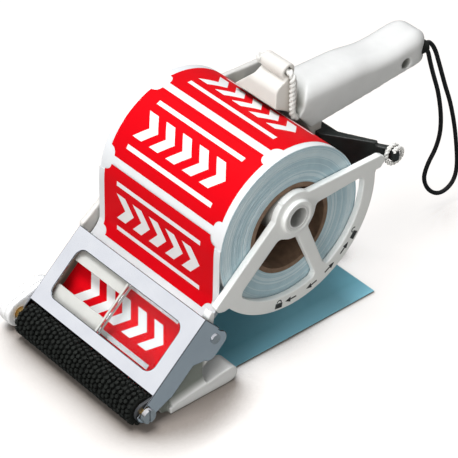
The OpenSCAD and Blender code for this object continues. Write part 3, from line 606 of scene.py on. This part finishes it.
# The foot's upper edge runs up into the cheek above it
CHEEK_X = 55.0
CHEEK_SLACK = 0.4
FOOT_X = 58.5
RIDGE = ((-32.6, 4.6), (12.6, 10.9))
FILLET_Y = (-31.0, -4.0)
FILLET = 5.0
FILLET_CURVE = 1.6


def share(value, low, high):
    """How far a value lies between two others, from 0 to 1."""
    return min(1.0, max(0.0, (value - low) / (high - low)))


def handle_dip(place):
    """Lowers the middle of the handle's back."""
    along = share(place.y / MM - FRAME_SHIFT.y, *DIP_Y)
    up = share(place.z / MM, *DIP_Z)
    drop = DIP * 0.5 * (1.0 - math.cos(math.tau * along)) * up
    return place - Vector((0.0, 0.0, drop * MM))


def foot_fillet(place):
    """Leans the cheek's outer face out towards the foot's edge."""
    x, y, z = place / MM - FRAME_SHIFT
    if x < CHEEK_X - CHEEK_SLACK or not FILLET_Y[0] < y < FILLET_Y[1]:
        return place
    (y0, z0), (y1, z1) = RIDGE
    above = z - z0 - (y - y0) * (z1 - z0) / (y1 - y0)
    if not 0.0 < above < FILLET:
        return place
    return at(max(x, CHEEK_X + (FOOT_X - CHEEK_X) * (1.0 - above / FILLET) ** FILLET_CURVE), y, z)


# White mouldings and the pressed cover keep their solids' shape, with soft edges
NOSE_Y = at(0, -22, 0).y
COVER_SIDE_X = at(-57.0, 0, 0).x


def add_mouldings():
    soft_moulding("handle_shell", white_plastic, voxel=0.7, turns=14, shape=handle_dip)
    soft_moulding("front_body", body_plastic, voxel=0.6, turns=8, shape=foot_fillet)
    soft_moulding("rear_bridge", bridge_plastic_shaded, voxel=0.6, turns=10)
    soft_moulding("side_wheel", wheel_plastic_lit, voxel=0.42, turns=5)
    soft_moulding("latch_bow", black_plastic, voxel=0.5, turns=6)
    side_frame = soft_moulding("left_side_frame", frame_plastic_shaded, voxel=0.8, turns=6)
    # The frame's nose, ahead of NOSE_Y, takes the paler case plastic; the rest keeps the frame's painted
    # shade
    side_frame.data.materials.append(case_plastic_lit)
    for face in side_frame.data.polygons:
        if face.center.y < NOSE_Y:
            face.material_index = 1
    soft_moulding("gear_case", case_plastic_lit, voxel=0.4, turns=5)
    soft_moulding("gear_case_cover", case_plastic_lit, voxel=0.4, turns=8)
    moulded("rear_rest", white_plastic, width=0.5)
    moulded("spindle_tube", white_plastic, width=0.4)
    moulded("hub_bush", wheel_plastic_lit, width=0.2)
    cover = moulded("front_cover", chrome, width=0.45)
    # The cover's rounded edges take the painted dark reflection
    cover.data.materials.append(dark_edge_reflection)
    cover.data.materials.append(shaded_chrome)
    cover.modifiers["rounded_edges"].material = 1
    # The inner face of the cover's left end takes the painted shade
    for face in cover.data.polygons:
        if face.normal.x > 0.9 and face.center.x < COVER_SIDE_X:
            face.material_index = 2
    moulded("window_guide", guide_plastic_shaded, width=0.3)
    moulded("clear_plate", clear_plastic, width=0.2)


add_mouldings()

# Press roller: a sleeve with rows of moulded knobs that wind round it
ROLLER_AXIS = (-50.5, 10.6)
ROLLER_X = (-53.5, 54.5)
SLEEVE_R = 8.5
SLEEVE_SIDES = 66
KNOB_TIP_R = 10.4
KNOB_SUNK = 0.5
KNOB_BASE_R = 1.7
KNOB_TOP_R = 1.2
KNOB_SIDES = 8
KNOBS_ROUND = 19
KNOB_ROWS = 30
KNOB_SHIFT = 0.37
KNOB_STRAY_ROUND = 0.16
KNOB_STRAY_ALONG = 0.14


def add_roller():
    rng = random.Random(3)
    bm = bmesh.new()
    start, end = ROLLER_X
    lay = Matrix.Translation(at((start + end) / 2, *ROLLER_AXIS)) @ Matrix.Rotation(math.pi / 2, 4, "Y")
    bmesh.ops.create_cone(bm, cap_ends=True, segments=SLEEVE_SIDES, radius1=SLEEVE_R * MM,
                          radius2=SLEEVE_R * MM, depth=(end - start) * MM, matrix=lay)
    pitch = (end - start) / KNOB_ROWS
    height = (KNOB_TIP_R - SLEEVE_R + KNOB_SUNK) * MM
    lift = Matrix.Translation((0, 0, KNOB_TIP_R * MM - height / 2))
    for row in range(KNOB_ROWS):
        for k in range(KNOBS_ROUND):
            stray = rng.uniform(-KNOB_STRAY_ROUND, KNOB_STRAY_ROUND)
            turn = math.tau * (k + row * KNOB_SHIFT + stray) / KNOBS_ROUND
            x = start + (row + 0.5 + rng.uniform(-KNOB_STRAY_ALONG, KNOB_STRAY_ALONG)) * pitch
            place = Matrix.Translation(at(x, *ROLLER_AXIS)) @ Matrix.Rotation(turn, 4, "X") @ lift
            bmesh.ops.create_cone(bm, cap_ends=True, segments=KNOB_SIDES, radius1=KNOB_BASE_R * MM,
                                  radius2=KNOB_TOP_R * MM, depth=height, matrix=place)
    add_piece(bm, "knobbly_roller", "front_roller", [black_rubber], ("roller_sleeve",), 50)


add_roller()

# Roll of labels: wound layers that show at its ends
ROLL_AXIS = (63.5, 84.5)
ROLL_R = 53.0
ROLL_STEPS = 120
CORE_R = 30.0
STOCK_X = (-59.7, 50.3)
LAYERS = 46
LAYER_STRAY = 0.22
PALE_SHARE = 0.35


def add_roll():
    rng = random.Random(7)
    start, end = STOCK_X
    bm = bmesh.new()
    radii = [CORE_R + (ROLL_R - CORE_R) * i / LAYERS for i in range(LAYERS + 1)]
    left = [rng.uniform(0.0, LAYER_STRAY) for _ in range(LAYERS)]
    right = [rng.uniform(0.0, LAYER_STRAY) for _ in range(LAYERS)]
    pale_layers = [layer for layer in range(LAYERS) if rng.random() < PALE_SHARE]
    profile = []
    for i in range(LAYERS):
        profile.append((start + left[i], radii[i]))
        profile.append((start + left[i], radii[i + 1]))
    for i in reversed(range(LAYERS)):
        profile.append((end - right[i], radii[i + 1]))
        profile.append((end - right[i], radii[i]))
    verts = [bm.verts.new(at(x, ROLL_AXIS[0] + r, ROLL_AXIS[1])) for x, r in profile]
    edges = [bm.edges.new((verts[i], verts[(i + 1) % len(verts)])) for i in range(len(verts))]
    centre = at(0, *ROLL_AXIS)
    bmesh.ops.spin(bm, geom=verts + edges, cent=centre, axis=(1, 0, 0), dvec=(0, 0, 0), angle=math.tau,
                   steps=ROLL_STEPS, use_merge=True)
    bmesh.ops.remove_doubles(bm, verts=bm.verts, dist=MERGE_DISTANCE)
    bmesh.ops.recalc_face_normals(bm, faces=bm.faces)
    for face in bm.faces:
        if abs(face.normal.x) > 0.5:
            middle = face.calc_center_median()
            r = math.dist((middle.y, middle.z), (centre.y, centre.z)) / MM
            layer = int((r - CORE_R) / (ROLL_R - CORE_R) * LAYERS)
            face.material_index = 2 if layer in pale_layers else 1
    materials = [label_backing, roll_edge, pale_edge]
    add_piece(bm, "wound_roll", "roll", materials, ("label_roll",), 50)


add_roll()

# Printed labels, drawn flat and then laid on the roll and on the web below it
LABEL_MID = -4.65
LABEL_W = 99.8
LABEL_LEN = 51.1
LABEL_PITCH = 56.4
LABEL_CUTS = 26
NOTCH_R = 5.0
NOTCH_STEPS = 6
CHEVRON_PITCH = 15.0
CHEVRON_W = 8
CHEVRON_H = 9
RULE_HALF = 38
RULE_H = 3.0
RULE_IN = 8.0
PRINT_LIFT = 0.12
MOTIF_LIFT = 0.17
ROLL_LABELS = 5
ROLL_LABEL_START = 159.2
ROLL_LABEL_TURN = 60.93
WEB_LABEL_START = -13.83
# The web's line: straight down from the roll, then down the cover's slope to the peeling edge
WEB_Y = 10.1
WEB_GAP = 0.4
WEB_HALF_T = 0.2
WEB_DEPTH = 14.5
SLOPE = math.radians(42.8)
COVER_EDGE = (-45.3, 20.7)


def slope_point(up, depth):
    return (COVER_EDGE[0] + up * math.cos(SLOPE) + depth * math.sin(SLOPE),
            COVER_EDGE[1] + up * math.sin(SLOPE) - depth * math.cos(SLOPE))


WEB_LINE = [
    (WEB_Y, ROLL_AXIS[1]), (WEB_Y, 58.0), (WEB_Y - 0.2, 54.6), (WEB_Y - 1.2, 52.2),
    slope_point(58, WEB_DEPTH), slope_point(-3.4, WEB_DEPTH),
]


def label_outline():
    """Outline with a concave round notch at each corner; x is across, y runs up the label."""
    half = LABEL_W / 2
    corners = [((half, 0), 180), ((half, LABEL_LEN), 270), ((-half, LABEL_LEN), 0), ((-half, 0), 90)]
    points = []
    for (x, y), first in corners:
        for k in range(NOTCH_STEPS + 1):
            turn = math.radians(first - 90 * k / NOTCH_STEPS)
            points.append((x + NOTCH_R * math.cos(turn), y + NOTCH_R * math.sin(turn)))
    return points


def motif_outlines():
    """Plain white marks: a row of chevrons between two rules."""
    marks = []
    mid = LABEL_LEN / 2
    low, high = mid - CHEVRON_H, mid + CHEVRON_H
    for k in range(-2, 3):
        x = k * CHEVRON_PITCH
        back, tip = x - CHEVRON_W, x + CHEVRON_W
        marks.append([(back, low), (x, mid), (back, high), (x, high), (tip, mid), (x, low)])
    for y in (RULE_IN, LABEL_LEN - RULE_IN - RULE_H):
        top = y + RULE_H
        marks.append([(-RULE_HALF, y), (RULE_HALF, y), (RULE_HALF, top), (-RULE_HALF, top)])
    return marks


def flat_shapes(outlines, material_index, bm):
    """Flat faces from outlines, cut across so that they can bend."""
    faces = []
    for outline in outlines:
        verts = [bm.verts.new((x, y, 0.0)) for x, y in outline]
        faces.append(bm.faces.new(verts))
    geom = [v for f in faces for v in f.verts] + [e for f in faces for e in f.edges] + faces
    geom = list(dict.fromkeys(geom))
    for k in range(1, LABEL_CUTS):
        y = LABEL_LEN * k / LABEL_CUTS
        cut = bmesh.ops.bisect_plane(bm, geom=geom, plane_co=(0, y, 0), plane_no=(0, 1, 0))
        geom = cut["geom"]
    for face in (g for g in geom if isinstance(g, bmesh.types.BMFace)):
        face.material_index = material_index
    return [g for g in geom if isinstance(g, bmesh.types.BMVert)]


def round_roll(x, turn, r):
    """A place across the label at an angle from +Y towards +Z and a radius round the roll's axis."""
    return at(LABEL_MID + x, ROLL_AXIS[0] + r * math.cos(turn), ROLL_AXIS[1] + r * math.sin(turn))


def roll_place(angle_low):
    """Lays a label on the roll, with its lower edge at an angle."""
    def lay(x, y, lift):
        return round_roll(x, math.radians(angle_low) - y / ROLL_R, ROLL_R + lift)
    return lay


def web_place(start):
    """Lays a label on the web, with its upper edge a distance below where the web leaves the roll."""
    def lay(x, y, lift):
        left = start + LABEL_LEN - y
        lift += WEB_HALF_T
        if left <= 0:
            return round_roll(x, math.pi + left / ROLL_R, ROLL_R + WEB_GAP + lift)
        for a, b in zip(WEB_LINE, WEB_LINE[1:]):
            length = math.dist(a, b)
            if left <= length or b is WEB_LINE[-1]:
                along_y = (b[0] - a[0]) / length
                along_z = (b[1] - a[1]) / length
                web_y = a[0] + along_y * left + along_z * lift
                web_z = a[1] + along_z * left - along_y * lift
                return at(LABEL_MID + x, web_y, web_z)
            left -= length
    return lay


def add_labels(name, body, places):
    bm = bmesh.new()
    for lay in places:
        for outlines, lift, index in (([label_outline()], PRINT_LIFT, 0), (motif_outlines(), MOTIF_LIFT, 1)):
            for vert in flat_shapes(outlines, index, bm):
                vert.co = lay(vert.co.x, vert.co.y, lift)
    add_piece(bm, name, body, [red_print, white_print], (), 60)


add_labels("roll_labels", "roll",
           [roll_place(ROLL_LABEL_START - ROLL_LABEL_TURN * k) for k in range(ROLL_LABELS)])
add_labels("web_labels", "frame", [web_place(WEB_LABEL_START), web_place(WEB_LABEL_START + LABEL_PITCH)])

# Marks on the wheel's rim: a shut lock, an open lock and arrows towards them
RIM_AXIS = (62.5, 95.0)
RIM_MID_R = 59.8
RIM_FACE_X = 55.1
MARK_LIFT = 0.02
ARROW = [(-4.4, -0.55), (0.2, -0.55), (0.2, -1.9), (4.4, 0.0), (0.2, 1.9), (0.2, 0.55), (-4.4, 0.55)]
BACK_ARROW = [(-u, v) for u, v in reversed(ARROW)]
LOCK_BODY = [(-2.7, -3.0), (2.7, -3.0), (2.7, 0.6), (-2.7, 0.6)]
LOCK_BOW_R = (2.1, 1.3)
LOCK_BOW_UP = 0.9
LOCK_BOW_STEPS = 8
LOCK_OPEN_SHIFT = 3.0


def lock_bow(shift):
    """The bent bar of a lock above its body, moved aside for an open one."""
    turns = [math.pi * k / LOCK_BOW_STEPS for k in range(LOCK_BOW_STEPS + 1)]
    outer, inner = LOCK_BOW_R
    there = [(shift + outer * math.cos(t), LOCK_BOW_UP + outer * math.sin(t)) for t in turns]
    back = [(shift + inner * math.cos(t), LOCK_BOW_UP + inner * math.sin(t)) for t in reversed(turns)]
    return there + back


# Each mark's angle round the rim and its outlines
RIM_MARKS = [
    (-99, [LOCK_BODY, lock_bow(0.0)]), (-90, [BACK_ARROW]), (-74, [BACK_ARROW]),
    (-36, [LOCK_BODY, lock_bow(LOCK_OPEN_SHIFT)]), (-45, [ARROW]), (-59, [ARROW]),
]


def add_marks():
    bm = bmesh.new()
    for turn, outlines in RIM_MARKS:
        for outline in outlines:
            verts = []
            for u, v in outline:
                angle = math.radians(turn) + u / RIM_MID_R
                y = RIM_AXIS[0] + (RIM_MID_R - v) * math.cos(angle)
                z = RIM_AXIS[1] + (RIM_MID_R - v) * math.sin(angle)
                verts.append(bm.verts.new(at(RIM_FACE_X + MARK_LIFT, y, z)))
            face = bm.faces.new(verts)
            face.normal_update()
            if face.normal.x < 0:
                face.normal_flip()
    add_piece(bm, "rim_marks", "wheel", [mark_ink])


add_marks()

# Floor, which shows a close, soft shadow to the right of what stands on it: partly real shade from the lamps
# and partly a painted shadow, where the floor's glow fades by an ambient occlusion aimed to one side
FLOOR_HALF = 3.0
FLOOR_DROP = 0.0003
FLOOR_MOTTLE = 3.0
FLOOR_TONES = ((0.31, 0.30, 0.285), (0.33, 0.32, 0.305))
FLOOR_SEEN = (0.28, 0.245, 0.22)
# Painted shade: the floor shows a darker grey in reflections than it does to the eye
FLOOR_MIRRORED_SHADE = (0.20, 0.23, 0.24)
SHADOW_REACH = 0.04
SHADOW_AIM = Vector((-0.75, 0.15, 0.62)).normalized()
SHADOW_RANGE = (0.55, 0.93)
FLOOR_WHITE = 0.8


def add_floor():
    bm = bmesh.new()
    bmesh.ops.create_grid(bm, x_segments=4, y_segments=4, size=FLOOR_HALF)
    mesh = bpy.data.meshes.new("floor")
    bm.to_mesh(mesh)
    bm.free()
    material, tree, shader = new_material("pale_floor")
    shader.inputs["Roughness"].default_value = 0.9
    shader.inputs["Specular IOR Level"].default_value = 0.0
    path = tree.nodes.new("ShaderNodeLightPath")
    seen = seen_directly(tree, path)
    tone = mix_colour(tree, noise(tree, object_place(tree), FLOOR_MOTTLE), *FLOOR_TONES)
    tone = mix_colour(tree, seen, tone, FLOOR_SEEN)
    # Reflections see the floor's painted shade
    tone = mix_colour(tree, path.outputs["Is Glossy Ray"], tone, FLOOR_MIRRORED_SHADE)
    tree.links.new(tone, shader.inputs["Base Color"])
    # Painted shadow: the glow that makes the floor white fades where an ambient occlusion, aimed to one
    # side, finds the object close by
    open_sky = tree.nodes.new("ShaderNodeAmbientOcclusion")
    open_sky.inputs["Distance"].default_value = SHADOW_REACH
    aim = tree.nodes.new("ShaderNodeCombineXYZ")
    for socket, value in zip(aim.inputs, SHADOW_AIM):
        socket.default_value = value
    tree.links.new(aim.outputs["Vector"], open_sky.inputs["Normal"])
    white = remap(tree, open_sky.outputs["AO"], *SHADOW_RANGE, 0.0, FLOOR_WHITE)
    shader.inputs["Emission Color"].default_value = (1.0, 1.0, 1.0, 1.0)
    tree.links.new(maths(tree, "MULTIPLY", seen, white), shader.inputs["Emission Strength"])
    mesh.materials.append(material)
    floor = bpy.data.objects.new("floor", mesh)
    scene.collection.objects.link(floor)
    floor.location.z = -FLOOR_DROP


# Backdrop and light
SKY_LIGHT = 0.2
SKY_MIRROR_RISE = (0.1, 0.45)
SKY_MIRROR = (0.12, 1.0)


def add_world():
    world = bpy.data.worlds.new("studio")
    scene.world = world
    world.use_nodes = True
    tree = world.node_tree
    shade = tree.nodes["Background"]
    path = tree.nodes.new("ShaderNodeLightPath")
    seen = seen_directly(tree, path)
    parts = tree.nodes.new("ShaderNodeSeparateXYZ")
    tree.links.new(tree.nodes.new("ShaderNodeTexCoord").outputs["Generated"], parts.inputs["Vector"])
    mirrored = remap(tree, parts.outputs["Z"], *SKY_MIRROR_RISE, *SKY_MIRROR)
    plain = remap(tree, path.outputs["Is Glossy Ray"], 0.0, 1.0, SKY_LIGHT, mirrored)
    shade.inputs["Color"].default_value = (1.0, 1.0, 1.0, 1.0)
    tree.links.new(remap(tree, seen, 0.0, 1.0, plain, 1.0), shade.inputs["Strength"])


def add_lamp(name, place, aim, size, power, colour):
    data = bpy.data.lights.new(name, "AREA")
    data.shape = "DISK"
    data.size = size
    data.energy = power
    data.color = colour
    lamp = bpy.data.objects.new(name, data)
    scene.collection.objects.link(lamp)
    lamp.location = place
    lamp.rotation_mode = "QUATERNION"
    lamp.rotation_quaternion = (Vector(aim) - Vector(place)).to_track_quat("-Z", "Y")


add_floor()
add_world()
add_lamp("key_softbox", (-0.1, -0.3, 1.7), (0.0, -0.02, 0.05), 0.8, 26.0, (0.97, 0.985, 1.0))
add_lamp("front_fill", (0.4, -1.5, 0.5), (0.0, -0.05, 0.05), 1.0, 12.0, (1.0, 0.99, 0.98))
add_lamp("right_fill", (1.5, -0.3, 0.6), (0.0, 0.0, 0.08), 1.0, 3.0, (1.0, 1.0, 0.97))
scene.view_settings.view_transform = "Standard"
